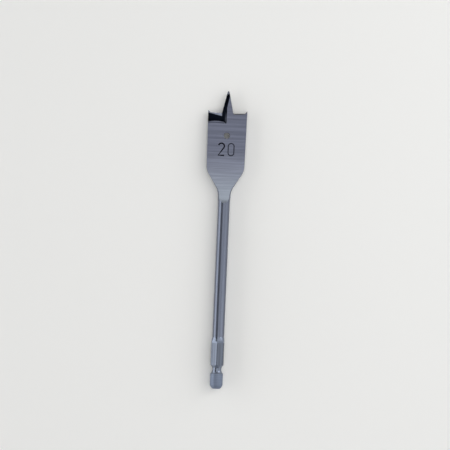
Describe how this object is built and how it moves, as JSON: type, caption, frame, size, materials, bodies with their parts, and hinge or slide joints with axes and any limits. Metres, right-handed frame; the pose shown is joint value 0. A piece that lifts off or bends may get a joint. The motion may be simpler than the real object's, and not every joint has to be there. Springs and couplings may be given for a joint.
{
  "type": "spade drill bit",
  "caption": "Flat spade drill bit for wood: a pointed blade with spurs and hollow-ground cutting edges, a hang hole, a round shaft and a grooved hex shank.",
  "frame": {"origin": "centre of the flat end of the hex shank, on the bit's axis", "axes": "+Y along the axis from the shank to the tip, +Z square to the blade's middle plane, +X across the blade; one flat of the hex faces 25 degrees off +Z, towards +X"},
  "size_m": [0.02, 0.152, 0.0072],
  "materials": {
    "bit_steel": "ground and drawn steel with a cool blue-grey cast"
  },
  "bodies": {
    "root": {"spade_bit": "bit_steel"}
  },
  "joints": []
}
